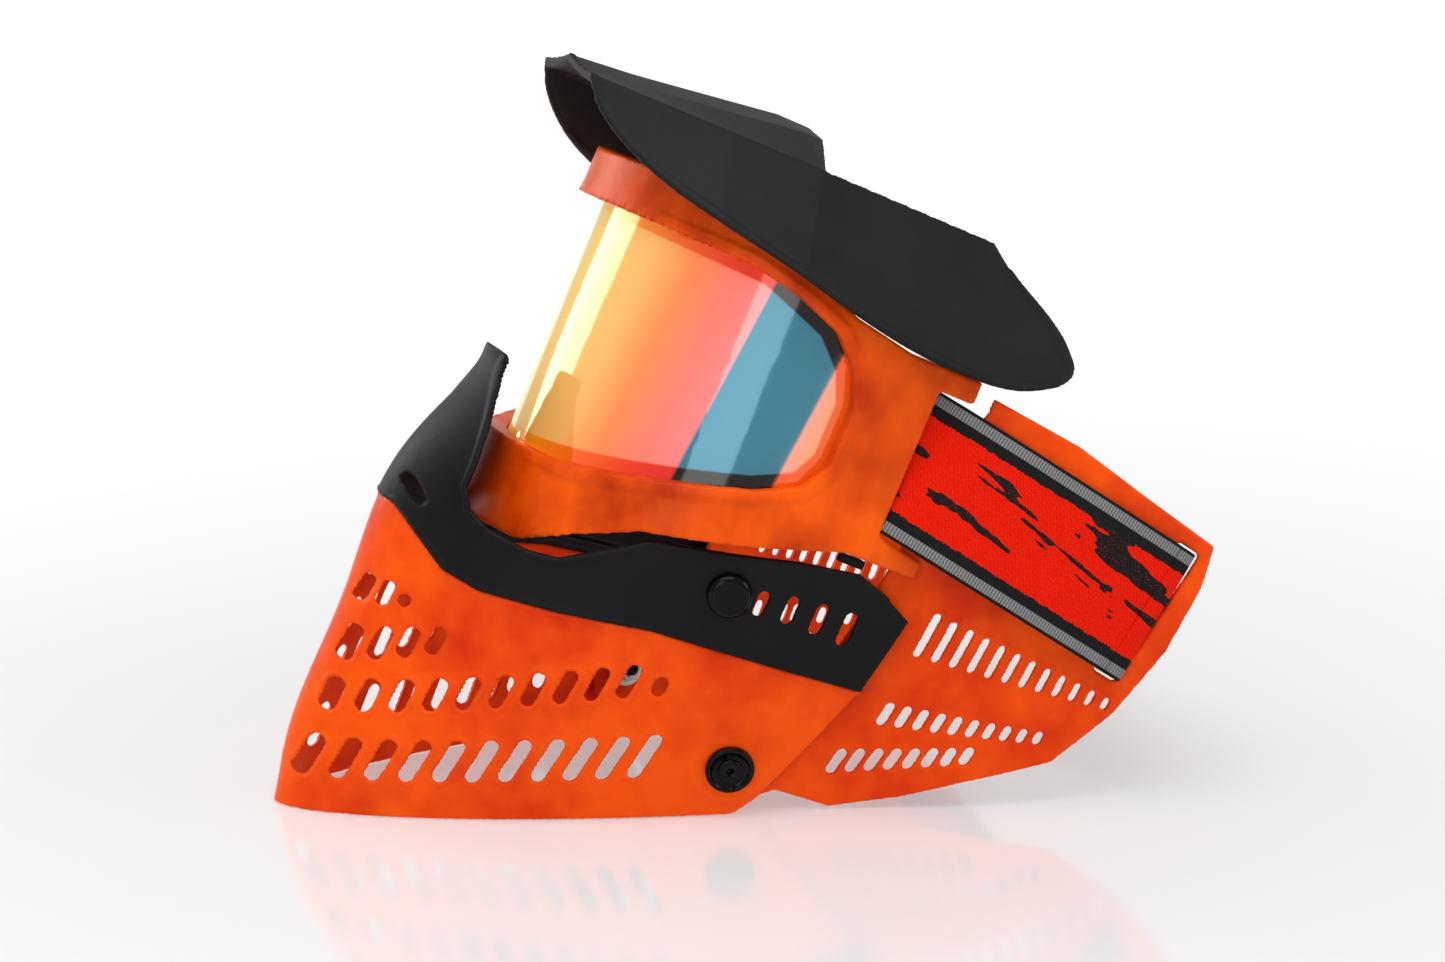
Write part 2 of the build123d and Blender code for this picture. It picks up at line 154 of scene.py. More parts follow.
soft_light("key_overhead", (0.5, -0.3, 1.5), (1.2, 1.2), 13)
soft_light("side_box", (1.6, -1.1, 0.7), (0.7, 0.9), 5)
soft_light("rear_box", (0.9, 1.5, 0.8), (0.8, 0.7), 6)
soft_light("far_box", (-1.3, -0.9, 0.7), (0.8, 0.8), 7)
bpy.context.scene.view_settings.view_transform = "Standard"
world = bpy.data.worlds.new("studio_white")
bpy.context.scene.world = world
world.use_nodes = True
world.node_tree.nodes["Background"].inputs["Color"].default_value = (1, 1, 1, 1)
world.node_tree.nodes["Background"].inputs["Strength"].default_value = 0.55

# %% [markdown]
# ## Finishes
#
# A small kit of node helpers keeps each material short. Every finish reads
# Object coordinates, so the grain stays put on the piece.

# %% Node helpers
def new_material(name):
    material = bpy.data.materials.new(name)
    material.use_nodes = True
    tree = material.node_tree
    shader = tree.nodes["Principled BSDF"]
    return material, tree, shader


def add_node(tree, kind, inputs=None, **settings):
    node = tree.nodes.new(kind)
    for key, value in settings.items():
        setattr(node, key, value)
    for key, value in (inputs or {}).items():
        if isinstance(value, bpy.types.NodeSocket):
            tree.links.new(value, node.inputs[key])
        else:
            node.inputs[key].default_value = value
    return node


def math(tree, operation, a, b=0.0, clamp=False):
    return add_node(tree, "ShaderNodeMath", {0: a, 1: b}, operation=operation,
                    use_clamp=clamp).outputs[0]


def noise(tree, coords, scale, detail=3.0, rough=0.5):
    return add_node(tree, "ShaderNodeTexNoise",
                    {"Vector": coords, "Scale": scale, "Detail": detail, "Roughness": rough})


def ramp(tree, factor, stops, mode="LINEAR"):
    node = add_node(tree, "ShaderNodeValToRGB", {"Fac": factor})
    node.color_ramp.interpolation = mode
    while len(node.color_ramp.elements) < len(stops):
        node.color_ramp.elements.new(0.5)
    for element, (place, colour) in zip(node.color_ramp.elements, stops):
        element.position = place
        element.color = (*colour, 1) if len(colour) == 3 else colour
    return node.outputs["Color"]


def grey(value):
    return (value, value, value)


def bump(tree, shader, height, strength, distance):
    node = add_node(tree, "ShaderNodeBump", {"Height": height, "Strength": strength,
                                             "Distance": distance})
    tree.links.new(node.outputs["Normal"], shader.inputs["Normal"])


# %% Plain floor
paper, tree, shader = new_material("white_floor")
shader.inputs["Base Color"].default_value = (0.50, 0.50, 0.50, 1)
shader.inputs["Roughness"].default_value = 0.10
shader.inputs["Specular IOR Level"].default_value = 0.7
shader.inputs["Emission Color"].default_value = (1, 1, 1, 1)
reach = add_node(tree, "ShaderNodeVectorMath",
                 {0: add_node(tree, "ShaderNodeTexCoord").outputs["Object"]},
                 operation="LENGTH").outputs["Value"]
tree.links.new(ramp(tree, math(tree, "DIVIDE", reach, 1.6, clamp=True),
                    [(0.12, grey(0.33)), (0.75, grey(0.68))]), shader.inputs["Emission Strength"])
floor.data.materials.append(paper)

# %% [markdown]
# ### Translucent orange
#
# The guards are cast in a clear-ish orange polymer, so light soaks in and
# comes out again beside where it went in. Subsurface scattering does that;
# a slow noise makes the cloudiness and a fast one the moulded skin.

# %% Orange shells
def orange_finish(name, deep, bright, rough, scatter):
    material, tree, shader = new_material(name)
    coords = add_node(tree, "ShaderNodeTexCoord").outputs["Object"]
    cloud = noise(tree, coords, 22, 4, 0.55).outputs["Fac"]
    skin = noise(tree, coords, 900, 2, 0.6).outputs["Fac"]
    flow = noise(tree, coords, 90, 3, 0.5).outputs["Fac"]
    mixed = math(tree, "ADD", math(tree, "MULTIPLY", cloud, 0.8), math(tree, "MULTIPLY", flow, 0.2))
    colour = ramp(tree, mixed, [(0.34, deep), (0.62, bright)])
    tree.links.new(colour, shader.inputs["Base Color"])
    shader.inputs["Subsurface Weight"].default_value = scatter
    shader.inputs["Subsurface Radius"].default_value = (1.0, 0.28, 0.06)
    shader.inputs["Subsurface Scale"].default_value = 0.006
    tree.links.new(math(tree, "ADD", math(tree, "MULTIPLY", flow, 0.16), rough),
                   shader.inputs["Roughness"])
    shader.inputs["Specular IOR Level"].default_value = 0.10
    height = math(tree, "ADD", skin, math(tree, "MULTIPLY", flow, 1.5))
    bump(tree, shader, height, 0.18, 0.0002)
    return material


orange_guard = orange_finish("orange_guard", (0.66, 0.028, 0.0005), (0.98, 0.095, 0.001), 0.30, 0.25)
orange_frame = orange_finish("orange_frame", (0.46, 0.026, 0.0005), (0.92, 0.110, 0.001), 0.24, 0.25)

# %% [markdown]
# ### Black mouldings
#
# The visor and the nose guard are dull black with a fine sparked texture;
# the screws and buttons are the same plastic, polished.

# %% Black finishes
def black_finish(name, low, high, rough, grain, coat):
    material, tree, shader = new_material(name)
    coords = add_node(tree, "ShaderNodeTexCoord").outputs["Object"]
    fine = noise(tree, coords, 1400, 2, 0.7).outputs["Fac"]
    slow = noise(tree, coords, 30, 4, 0.6).outputs["Fac"]
    colour = ramp(tree, slow, [(0.3, low), (0.7, high)])
    tree.links.new(colour, shader.inputs["Base Color"])
    tree.links.new(math(tree, "ADD", math(tree, "MULTIPLY", slow, 0.14), rough),
                   shader.inputs["Roughness"])
    shader.inputs["Specular IOR Level"].default_value = 0.14 + 0.2 * coat
    shader.inputs["Coat Weight"].default_value = coat
    shader.inputs["Coat Roughness"].default_value = 0.12
    bump(tree, shader, fine, grain, 0.00012)
    return material


black_matte = black_finish("black_matte", grey(0.003), grey(0.006), 0.42, 0.35, 0.0)
black_visor = black_finish("black_visor", grey(0.008), grey(0.013), 0.46, 0.45, 0.0)
black_gloss = black_finish("black_gloss", grey(0.001), grey(0.002), 0.08, 0.02, 0.0)

# %% Steel and seal
plated, tree, shader = new_material("plated_steel")
coords = add_node(tree, "ShaderNodeTexCoord").outputs["Object"]
brushed = add_node(tree, "ShaderNodeMapping", {"Vector": coords, "Scale": (1, 1, 14)}).outputs[0]
grain = noise(tree, brushed, 300, 3).outputs["Fac"]
tree.links.new(ramp(tree, grain, [(0.3, grey(0.35)), (0.7, grey(0.55))]), shader.inputs["Base Color"])
shader.inputs["Metallic"].default_value = 1.0
tree.links.new(math(tree, "ADD", math(tree, "MULTIPLY", grain, 0.2), 0.2), shader.inputs["Roughness"])
seal, tree, shader = new_material("seal_tape")
coords = add_node(tree, "ShaderNodeTexCoord").outputs["Object"]
pores = noise(tree, coords, 500, 3).outputs["Fac"]
tree.links.new(ramp(tree, pores, [(0.35, grey(0.008)), (0.7, grey(0.022))]), shader.inputs["Base Color"])
shader.inputs["Roughness"].default_value = 0.8
bump(tree, shader, pores, 0.4, 0.0003)

# %% [markdown]
# ### The mirrored lens
#
# A thin coating turns from yellow through pink to teal as the pane curves
# away. Its colour is painted by the angle round the lens's own cylinder,
# which is worked out from Object coordinates; a warmer band runs round the
# edge, where the sealing tape lies behind the pane. The same colour is also
# emitted weakly as a painted glow, so the lens shines a little by itself.

# %% Lens coating
LENS_BACK = -36.0
ct, st = cos(GOGGLE_TILT), sin(GOGGLE_TILT)


def goggle_coords(tree):
    coords = add_node(tree, "ShaderNodeTexCoord").outputs["Object"]
    split = add_node(tree, "ShaderNodeSeparateXYZ", {0: coords})
    x, y, z = split.outputs
    y = math(tree, "SUBTRACT", y, CENTRE_BACK * MM)
    back = math(tree, "SUBTRACT", math(tree, "MULTIPLY", y, ct), math(tree, "MULTIPLY", z, st))
    up = math(tree, "ADD", math(tree, "MULTIPLY", y, st), math(tree, "MULTIPLY", z, ct))
    return coords, x, back, up


lens_coat_and_glow, tree, shader = new_material("mirror_coating_and_glow")
coords, x, back, up = goggle_coords(tree)
forward = math(tree, "SUBTRACT", LENS_BACK * MM, back)
angle = math(tree, "ARCTAN2", x, forward)
lean = math(tree, "MULTIPLY", math(tree, "SUBTRACT", 0.125, up), 1.2)
turned = math(tree, "ABSOLUTE", math(tree, "ADD", math(tree, "ADD", angle, lean), radians(21.0)))
place = math(tree, "DIVIDE", turned, radians(110.0), clamp=True)
bands = [(0.00, (0.40, 0.50, 0.14)), (0.08, (0.62, 0.66, 0.20)), (0.14, (0.90, 0.55, 0.06)),
         (0.26, (0.95, 0.52, 0.12)), (0.40, (0.95, 0.46, 0.13)), (0.52, (0.95, 0.24, 0.07)),
         (0.62, (0.95, 0.20, 0.14)), (0.700, (0.93, 0.22, 0.22)), (0.706, (0.030, 0.18, 0.25)),
         (0.900, (0.045, 0.18, 0.25)), (0.906, (0.93, 0.30, 0.22)), (0.97, (0.95, 0.30, 0.07)),
         (1.0, (0.90, 0.22, 0.02))]
middle = ramp(tree, place, bands)
edge_bands = [(0.00, (0.45, 0.55, 0.10)), (0.10, (0.80, 0.55, 0.02)), (0.25, (0.95, 0.36, 0.005)),
              (0.45, (0.90, 0.14, 0.008)), (0.60, (0.80, 0.04, 0.005)), (0.700, (0.70, 0.02, 0.006)),
              (0.706, (0.006, 0.003, 0.004)), (0.900, (0.010, 0.004, 0.003)),
              (0.906, (0.80, 0.09, 0.004)), (1.0, (0.70, 0.10, 0.004))]
rim = ramp(tree, place, edge_bands)
# straight runs of the inner pane's outline: (back weight, up weight, limit), millimetres
PANE_RUNS = [(0.03, 1.0, 160.0), (0.37, 0.93, 121.3), (0.71, 0.71, 67.4), (0.92, 0.385, 9.7),
             (1.0, 0.0, -46.0), (0.89, -0.447, -93.3), (0.447, -0.894, -119.8), (0.323, -0.946, -117.4)]
inside = None
for back_weight, up_weight, limit in PANE_RUNS:
    reach = math(tree, "SUBTRACT",
                 math(tree, "ADD", math(tree, "MULTIPLY", back, back_weight),
                      math(tree, "MULTIPLY", up, up_weight)), limit * MM)
    inside = reach if inside is None else math(tree, "MAXIMUM", inside, reach)
edge = math(tree, "MULTIPLY", math(tree, "ADD", inside, 0.0004), 1600, clamp=True)
haze = noise(tree, coords, 12, 2).outputs["Fac"]
blend_node = add_node(tree, "ShaderNodeMix", {0: edge, 6: middle, 7: rim}, data_type="RGBA")
tree.links.new(blend_node.outputs[2], shader.inputs["Base Color"])
# painted glow: the coating colour also drives the emission, so the lens shines a little though it is no
# lamp
tree.links.new(blend_node.outputs[2], shader.inputs["Emission Color"])
shader.inputs["Emission Strength"].default_value = 0.22
shader.inputs["Metallic"].default_value = 0.25
tree.links.new(math(tree, "ADD", math(tree, "MULTIPLY", haze, 0.05), 0.05), shader.inputs["Roughness"])
shader.inputs["Coat Weight"].default_value = 0.25
shader.inputs["Coat Roughness"].default_value = 0.03
clear_pane, tree, shader = new_material("clear_pane")
coords = add_node(tree, "ShaderNodeTexCoord").outputs["Object"]
film = noise(tree, coords, 40, 2).outputs["Fac"]
tree.links.new(ramp(tree, film, [(0.3, (0.55, 0.30, 0.16)), (0.7, (0.65, 0.36, 0.18))]),
               shader.inputs["Base Color"])
shader.inputs["Roughness"].default_value = 0.06
shader.inputs["Coat Weight"].default_value = 0.4

# %% [markdown]
# ## Hard mouldings
#
# The exact shells are right in shape but their edges are knife sharp, which
# no moulding is. A copy of each is merged, remeshed fine and relaxed a
# little, so every vent and rim gets the small round edge of a moulded part.

# %% Moulding helper
def copy_nodes(names, label):
    bpy.ops.object.select_all(action="DESELECT")
    for name in names:
        nodes[name].select_set(True)
    bpy.context.view_layer.objects.active = nodes[names[0]]
    bpy.ops.object.duplicate()
    copies = list(bpy.context.selected_objects)
    bpy.context.view_layer.objects.active = copies[0]
    bpy.ops.object.parent_clear(type="CLEAR_KEEP_TRANSFORM")
    if len(copies) > 1:
        bpy.ops.object.join()
    piece = bpy.context.object
    piece.name = label
    piece.data.name = label
    for modifier in list(piece.modifiers):
        piece.modifiers.remove(modifier)
    piece.data.materials.clear()
    bpy.ops.object.mode_set(mode="EDIT")
    bpy.ops.mesh.select_all(action="SELECT")
    bpy.ops.mesh.remove_doubles(threshold=0.000002)
    bpy.ops.object.mode_set(mode="OBJECT")
    return piece


def apply_modifier(piece, kind, **settings):
    bpy.context.view_layer.objects.active = piece
    modifier = piece.modifiers.new(kind.lower(), kind)
    for key, value in settings.items():
        setattr(modifier, key, value)
    bpy.ops.object.modifier_apply(modifier=modifier.name)


def finish_piece(piece, material, body, replaced):
    if not piece.data.materials:
        piece.data.materials.append(material)
    bpy.ops.object.select_all(action="DESELECT")
    piece.select_set(True)
    bpy.context.view_layer.objects.active = piece
    if body:
        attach(piece, body)
    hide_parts(*replaced)
    print(piece.name, "faces:", len(piece.data.polygons))


def moulded(names, label, voxel, relax, material, body):
    piece = copy_nodes(names, label)
    apply_modifier(piece, "REMESH", mode="VOXEL", voxel_size=voxel * MM, use_smooth_shade=True)
    if relax:
        apply_modifier(piece, "SMOOTH", factor=0.5, iterations=relax)
    bpy.ops.object.shade_smooth()
    finish_piece(piece, material, body, names)
    return piece


# %% [markdown]
# Moulded vents have a low raised lip, and thin edges a bead. Both are made by
# lifting the skin near a line seen from the side: a vent's own middle line,
# or the outline of a shell.

# %% Raised lips and beads
def side_view(spots, tilt):
    """Depth and height of every point in millimetres, on upright or goggle axes."""
    y = spots[:, 1] / MM - CENTRE_BACK
    z = spots[:, 2] / MM
    return np.column_stack((y * cos(tilt) - z * sin(tilt), y * sin(tilt) + z * cos(tilt)))


def raise_near(piece, lines, start, width, height, tilt=0.0, both_faces=False):
    """Lift the skin where it lies from start to start + width away from any line."""
    spots = np.empty(len(piece.data.vertices) * 3)
    normals = np.empty(len(piece.data.vertices) * 3)
    piece.data.vertices.foreach_get("co", spots)
    piece.data.vertex_normals.foreach_get("vector", normals)
    spots, normals = spots.reshape(-1, 3), normals.reshape(-1, 3)
    flat = side_view(spots, tilt)
    rise = np.zeros(len(flat))
    for line in lines:
        for (a, b), (c, d) in zip(line, line[1:]):
            run = np.array((c - a, d - b), dtype=float)
            offset = flat - np.array((a, b), dtype=float)
            along = np.clip(offset @ run / max(1e-9, run @ run), 0, 1)
            gap = np.linalg.norm(offset - along[:, None] * run, axis=1) - start
            fade = np.clip((width - gap) / (0.45 * width), 0, 1)
            hump = np.where(gap > -0.8, fade * fade * (3 - 2 * fade), 0)
            rise = np.maximum(rise, hump)
    if not both_faces:
        rise *= np.clip((normals[:, 0] * np.sign(spots[:, 0]) - 0.25) / 0.3, 0, 1)
    spots += normals * (rise * height * MM)[:, None]
    piece.data.vertices.foreach_set("co", spots.ravel())
    piece.data.update()


def vent_row(start, end, count, length, length_end, wide, angle):
    """Middle lines of a row of slanted vents."""
    lines = []
    for i in range(count):
        f = i / (count - 1)
        half = (length + (length_end - length) * f - wide) / 2
        a = start[0] + (end[0] - start[0]) * f
        b = start[1] + (end[1] - start[1]) * f
        da, db = half * cos(radians(angle)), half * sin(radians(angle))
        lines.append([(a - da, b - db), (a + da, b + db)])
    return lines


# %% Guards, frame and visor
FINE = 1.0
chin = moulded(["chin_guard"], "chin_guard_shell", 0.75 * FINE, 3, orange_guard, "mask")
raise_near(chin, vent_row((-151, 19), (-48, 23), 11, 16, 18, 5.0, 62), 2.5, 1.6, 0.55)
raise_near(chin, vent_row((-143, 40), (-54, 50), 10, 12, 13, 4.8, 63), 2.4, 1.6, 0.55)
cheek = moulded(["cheek_guard"], "cheek_guard_shell", 0.7 * FINE, 3, black_matte, "mask")
CHEEK_EDGE = [(29, 77), (20, 85), (0, 90), (-23, 93.5), (-47, 98), (-62, 94), (-75, 91), (-84, 93),
              (-95, 99), (-100, 105), (-100, 112), (-93, 126), (-84.5, 142), (-80, 151)]
SEAM_LINE = [(-120, 104), (-115, 95), (-109, 85), (-99, 79), (-75, 73), (-47, 67.5), (-16, 57), (22, 44)]
raise_near(cheek, [CHEEK_EDGE], 0.0, 2.2, 0.5, both_faces=True)
raise_near(cheek, [SEAM_LINE], 0.0, 2.0, 0.45, both_faces=True)
raise_near(chin, [SEAM_LINE], 0.0, 2.0, 0.45, both_faces=True)
goggle = moulded(["goggle_frame"], "goggle_frame_shell", 0.85 * FINE, 4, orange_frame, "mask")
WINDOW_EDGE = [(-140, 166), (-112, 167), (-88, 167), (-71, 163), (-56, 157), (-47, 148), (-42, 136),
               (-42, 116), (-47, 106), (-61, 99), (-85, 91), (-105, 84), (-113, 81), (-140, 81)]
raise_near(goggle, [WINDOW_EDGE], 0.0, 5.0, 1.0, tilt=GOGGLE_TILT)
visor = moulded(["visor"], "visor_shell", 0.75 * FINE, 3, black_visor, "visor")
VISOR_EDGE = [(-153, 212), (-150, 203), (-146, 196), (-138, 189), (-125, 182), (-88, 172.5), (-35, 161.5),
              (-8, 160.5), (15, 166), (24, 174), (14, 187), (-3, 197)]
raise_near(visor, [VISOR_EDGE], 0.0, 2.4, 0.5, tilt=GOGGLE_TILT, both_faces=True)

# %% [markdown]
# ## Ears that bend
#
# Each ear is one flexible moulding. The exact model parts it along the line
# where it bends; here the two sides are pushed together, remeshed as one and
# blended, so the plastic curves instead of opening.

# %% Ears
HINGE_BACK = 11.0
for side, hand in ((1, "left"), (-1, "right")):
    names = ["ear_root_" + hand, "ear_guard_" + hand]
    piece = copy_nodes(names, "ear_shell_" + hand)
    for vertex in piece.data.vertices:
        y = vertex.co.y - CENTRE_BACK * MM
        back = (y * ct - vertex.co.z * st) / MM
        if abs(back - HINGE_BACK) < 0.3:
            push = 0.3 if back < HINGE_BACK else -0.3
            vertex.co += Vector((0, ct, -st)) * push * MM
    apply_modifier(piece, "REMESH", mode="VOXEL", voxel_size=0.65 * FINE * MM, use_smooth_shade=True)
    apply_modifier(piece, "SMOOTH", factor=0.5, iterations=3)
    bpy.ops.object.shade_smooth()
    raise_near(piece, vent_row((45, 62), (107, 35), 12, 17, 5, 3.2, 64), 1.6, 1.3, 0.5)
    finish_piece(piece, orange_guard, None, names)
    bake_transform(piece)

# %% [markdown]
# ## Small hard parts
#
# Panes, screws and clips only need merged, softly shaded copies with a
# narrow bevel.

# %% Panes and fixings
def crisp(name, material, body, width=0.0):
    piece = copy_nodes([name], name + "_part")
    if width:
        apply_modifier(piece, "BEVEL", width=width * MM, segments=2, limit_method="ANGLE",
                       angle_limit=radians(40), use_clamp_overlap=True)
    bpy.ops.object.shade_smooth_by_angle(angle=radians(32))
    finish_piece(piece, material, body, [name])
    return piece


crisp("lens_outer", lens_coat_and_glow, "mask")
crisp("lens_inner", clear_pane, "mask")
crisp("lens_gasket", seal, "mask")
for hand in ("left", "right"):
    crisp("ear_screw_" + hand, black_gloss, "mask")
    crisp("ear_nut_" + hand, plated, "mask", 0.2)
    crisp("ear_washer_" + hand, plated, "mask", 0.1)
    crisp("snap_button_" + hand, black_gloss, "button_" + hand)
    crisp("snap_socket_" + hand, black_matte, "mask", 0.3)
    crisp("strap_bar_" + hand, plated, "mask", 0.2)
    crisp("strap_slider_" + hand, black_matte, "slider_" + hand, 0.6)
    crisp("visor_clip_" + hand, black_matte, "visor", 0.4)
    crisp("frame_clip_" + hand, black_matte, "mask", 0.4)

# %% [markdown]
# ## The strap
#
# Woven elastic, fifty millimetres wide, with a printed band down its middle.
# It is modelled as what it is: a strip that follows the route of the exact
# strap, with rounded edges. Its own UV map runs along and across the
# webbing in metres, so the weave and the print follow every curve.

# %% Webbing
STRAP_WIDE = 50.0
STRAP_MID = 122.3
STRAP_ROUTE = [(80.8, -47), (82.2, -40), (83.4, -35), (88.2, -28), (92.4, -12), (95.8, 10), (97.7, 38),
               (98.0, 52), (97.5, 58.4)]
BACK_ROUTE = [(97.5, 58.4), (97.0, 62.4), (95.4, 65.4), (91.8, 66.7), (85, 67), (76, 67), (66, 67),
              (55, 67), (40, 67), (20, 67), (0, 67)]


def smooth_route(points, steps):
    """Points on a rounded line through the given ones, evenly spread."""
    dense = []
    padded = [points[0]] + list(points) + [points[-1]]
    for a, b, c, d in zip(padded, padded[1:], padded[2:], padded[3:]):
        for i in range(24):
            t = i / 24
            dense.append(tuple(0.5 * ((2 * b[k]) + (c[k] - a[k]) * t
                                      + (2 * a[k] - 5 * b[k] + 4 * c[k] - d[k]) * t * t
                                      + (3 * b[k] - a[k] - 3 * c[k] + d[k]) * t ** 3) for k in (0, 1)))
    dense.append(points[-1])
    lengths = [0.0]
    for p, q in zip(dense, dense[1:]):
        lengths.append(lengths[-1] + sqrt((q[0] - p[0]) ** 2 + (q[1] - p[1]) ** 2))
    out = []
    j = 0
    for i in range(steps + 1):
        want = lengths[-1] * i / steps
        while j < len(lengths) - 2 and lengths[j + 1] < want:
            j += 1
        f = (want - lengths[j]) / max(1e-9, lengths[j + 1] - lengths[j])
        out.append(tuple(dense[j][k] + (dense[j + 1][k] - dense[j][k]) * f for k in (0, 1)))
    return out, lengths[-1]


def webbing(label, points, side, along_start, steps):
    """A grid bent along the route and thickened, with a slight wave in it."""
    route, length = smooth_route(points, steps)
    across = 40
    bpy.ops.object.select_all(action="DESELECT")
    bpy.ops.mesh.primitive_grid_add(x_subdivisions=steps, y_subdivisions=across, size=2,
                                    calc_uvs=True)
    piece = bpy.context.object
    piece.name = label
    piece.data.name = label
    layer = piece.data.uv_layers.active.data
    spots = {}
    for vertex in piece.data.vertices:
        u = (vertex.co.x + 1) / 2
        v = (vertex.co.y + 1) / 2
        spots[vertex.index] = (u, v)
        i = min(steps - 1, int(u * steps + 1e-6))
        f = u * steps - i
        x = route[i][0] + (route[i + 1][0] - route[i][0]) * f
        q = route[i][1] + (route[i + 1][1] - route[i][1]) * f
        lo, hi = route[max(0, i - 1)], route[min(steps, i + 2)]
        dx, dq = hi[0] - lo[0], hi[1] - lo[1]
        size = sqrt(dx * dx + dq * dq)
        wave = 0.18 * sin(u * length / 11.0 + 4 * v) + 0.12 * sin(u * length / 5.0 - 9 * v)
        vertex.co = strap_point(side * (x + wave * dq / size), q - wave * dx / size,
                                STRAP_MID + (v - 0.5) * STRAP_WIDE)
    for loop in piece.data.loops:
        u, v = spots[loop.vertex_index]
        layer[loop.index].uv = (along_start + u * length * MM, v * STRAP_WIDE * MM)
    bpy.ops.object.mode_set(mode="EDIT")
    bpy.ops.mesh.select_all(action="SELECT")
    if side < 0:
        bpy.ops.mesh.flip_normals()
    bpy.ops.object.mode_set(mode="OBJECT")
    apply_modifier(piece, "SOLIDIFY", thickness=1.7 * MM, offset=0.0, use_even_offset=True)
    apply_modifier(piece, "BEVEL", width=0.5 * MM, segments=3, limit_method="ANGLE",
                   angle_limit=radians(50))
    bpy.ops.object.shade_smooth()
    print(label, "length", round(length, 1), "mm")
    return piece, length


# %% [markdown]
# ### The printed weave
#
# The webbing is a fine twill: short slanting stitches in rows. Grey knitted
# stripes run along both edges, then a black band, then a red field with
# jagged black streaks of no particular shape.

# %% Webbing finish
def strap_finish():
    material, tree, shader = new_material("printed_webbing")
    uv = add_node(tree, "ShaderNodeTexCoord").outputs["UV"]
    split = add_node(tree, "ShaderNodeSeparateXYZ", {0: uv})
    along, high = split.outputs[0], split.outputs[1]
    stitch = math(tree, "SINE", math(tree, "MULTIPLY", along, 2 * pi / 0.0011))
    slant = math(tree, "ADD", along, math(tree, "MULTIPLY", high, 0.7))
    twill = math(tree, "SINE", math(tree, "MULTIPLY", slant, 2 * pi / 0.0015))
    rows = math(tree, "SINE", math(tree, "MULTIPLY", high, 2 * pi / 0.0009))
    weave = math(tree, "ADD", math(tree, "MULTIPLY", twill, 0.6),
                 math(tree, "MULTIPLY", math(tree, "MULTIPLY", stitch, rows), 0.5))
    fuzz = noise(tree, uv, 1500, 3, 0.7).outputs["Fac"]
    wobble = noise(tree, uv, 260, 3, 0.6).outputs["Fac"]
    shift = math(tree, "MULTIPLY", math(tree, "SUBTRACT", wobble, 0.5), 0.0022)
    level = math(tree, "ADD", high, shift)
    level = math(tree, "ADD", level, math(tree, "MULTIPLY", twill, 0.00012))
    centre = math(tree, "ABSOLUTE", math(tree, "SUBTRACT", level, 0.025))
    # jagged streaks: one noise stretched along the strap, cut off at a level
    tilt = math(tree, "ADD", high, math(tree, "MULTIPLY", along, 0.12))
    kink = noise(tree, uv, 130, 2, 0.5).outputs["Fac"]
    stretched = add_node(tree, "ShaderNodeCombineXYZ",
                         {0: math(tree, "MULTIPLY", along, 26.0),
                          1: math(tree, "MULTIPLY", tilt, 210.0), 2: 3.7}).outputs[0]
    streak = noise(tree, stretched, 1.0, 1.5, 0.5).outputs["Fac"]
    streak = math(tree, "ADD", streak, math(tree, "MULTIPLY", math(tree, "SUBTRACT", kink, 0.5), 0.22))
    strokes = math(tree, "GREATER_THAN", streak, 0.57)
    frayed = math(tree, "GREATER_THAN", fuzz, 0.36)
    strokes = math(tree, "MULTIPLY", strokes, frayed)
    red = ramp(tree, fuzz, [(0.3, (0.85, 0.008, 0.001)), (0.75, (1.0, 0.020, 0.002))])
    ink = ramp(tree, fuzz, [(0.3, grey(0.008)), (0.7, grey(0.02))])
    silver = ramp(tree, math(tree, "ADD", math(tree, "MULTIPLY", stitch, 0.3), 0.5),
                  [(0.2, grey(0.11)), (0.8, grey(0.34))])

    def over(fac, below, above):
        node = add_node(tree, "ShaderNodeMix", {0: fac, 6: below, 7: above}, data_type="RGBA")
        return node.outputs[2]

    colour = over(strokes, red, ink)
    colour = over(math(tree, "GREATER_THAN", centre, 0.0168), colour, ink)
    edge_level = math(tree, "ABSOLUTE", math(tree, "SUBTRACT", high, 0.025))
    stripe = math(tree, "LESS_THAN",
                  math(tree, "ABSOLUTE", math(tree, "SUBTRACT", edge_level, 0.0222)), 0.0017)
    colour = over(stripe, colour, silver)
    shade = ramp(tree, math(tree, "ADD", math(tree, "MULTIPLY", weave, 0.35), 0.5),
                 [(0.0, grey(0.78)), (1.0, grey(1.0))])
    woven = add_node(tree, "ShaderNodeMix", {0: 1.0, 6: colour, 7: shade}, data_type="RGBA",
                     blend_type="MULTIPLY").outputs[2]
    tree.links.new(woven, shader.inputs["Base Color"])
    shader.inputs["Roughness"].default_value = 0.85
    shader.inputs["Specular IOR Level"].default_value = 0.08
    height = math(tree, "ADD", weave, math(tree, "MULTIPLY", fuzz, 0.6))
    bump(tree, shader, height, 0.55, 0.0004)
    return material


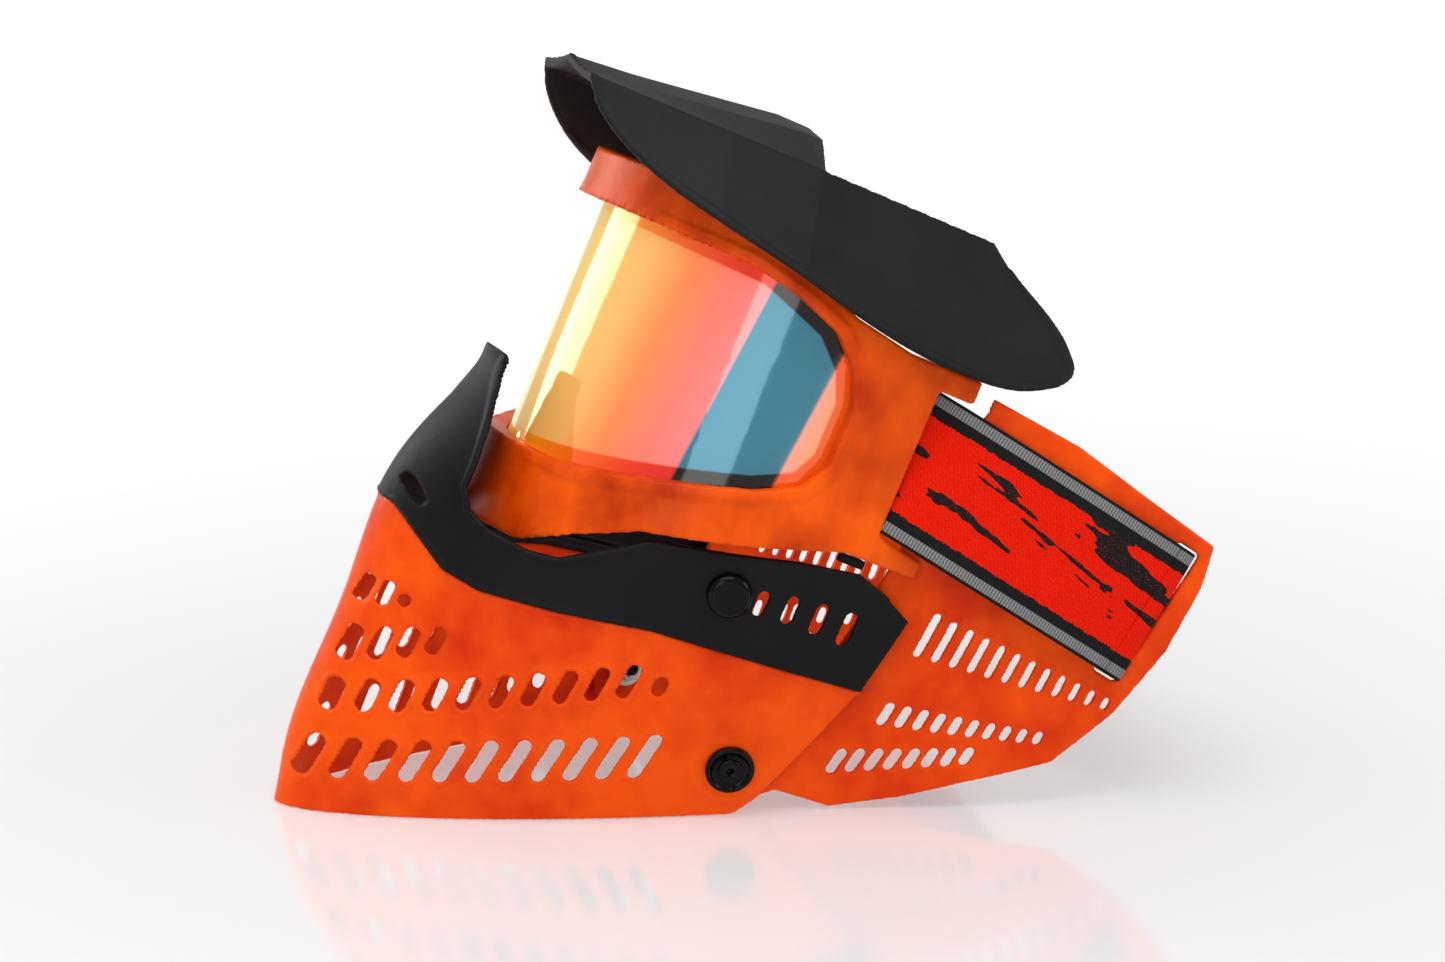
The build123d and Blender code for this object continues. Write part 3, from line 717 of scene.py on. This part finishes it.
printed = strap_finish()
for side, hand in ((1, "left"), (-1, "right")):
    piece, length = webbing("strap_run_" + hand, STRAP_ROUTE, side, 0.0, 150)
    finish_piece(piece, printed, None, ["strap_front_" + hand, "strap_side_" + hand])
    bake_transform(piece)
    piece, back_length = webbing("strap_back_run_" + hand, BACK_ROUTE, side, length * MM, 120)
    finish_piece(piece, printed, None, ["strap_back_" + hand])
    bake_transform(piece)

# %% [markdown]
# ## The face foam
#
# Two layers of foam seal the goggle to the face: a firm one glued to the
# frame and a soft, fleece-faced one. The soft one is swollen a little by a
# cloth simulation with pressure inside, so its corners crown as foam does.

# %% Foam
def foam_finish(name, low, high):
    material, tree, shader = new_material(name)
    coords = add_node(tree, "ShaderNodeTexCoord").outputs["Object"]
    nap = noise(tree, coords, 1100, 4, 0.7).outputs["Fac"]
    clumps = noise(tree, coords, 160, 3, 0.6).outputs["Fac"]
    tree.links.new(ramp(tree, clumps, [(0.3, low), (0.7, high)]), shader.inputs["Base Color"])
    shader.inputs["Roughness"].default_value = 0.95
    shader.inputs["Sheen Weight"].default_value = 0.3
    bump(tree, shader, math(tree, "ADD", nap, clumps), 0.6, 0.0006)
    return material


firm_foam = foam_finish("firm_foam", grey(0.012), grey(0.03))
fleece_foam = foam_finish("fleece_foam", grey(0.02), grey(0.05))
for name, finish in (("foam_base", firm_foam), ("face_foam", fleece_foam)):
    piece = copy_nodes([name], name + "_pad")
    apply_modifier(piece, "REMESH", mode="VOXEL", voxel_size=(2.2 if name == "foam_base" else 3.0) * MM,
                   use_smooth_shade=True)
    apply_modifier(piece, "SMOOTH", factor=0.5, iterations=4)
    if name == "face_foam":
        rest = [v.co.copy() for v in piece.data.vertices]
        modifier = piece.modifiers.new("cloth", "CLOTH")
        modifier.settings.use_pressure = True
        modifier.settings.uniform_pressure_force = 4
        modifier.settings.effector_weights.gravity = 0
        for step in range(1, 21):
            bpy.context.scene.frame_set(step)
        bpy.context.view_layer.objects.active = piece
        bpy.ops.object.modifier_apply(modifier="cloth")
        for vertex, start in zip(piece.data.vertices, rest):
            move = vertex.co - start
            if move.length > 1.2 * MM:
                vertex.co = start + move.normalized() * 1.2 * MM
        bpy.context.scene.frame_set(1)
        apply_modifier(piece, "SUBSURF", levels=1, render_levels=1)
    bpy.ops.object.shade_smooth()
    finish_piece(piece, finish, "mask", [name])
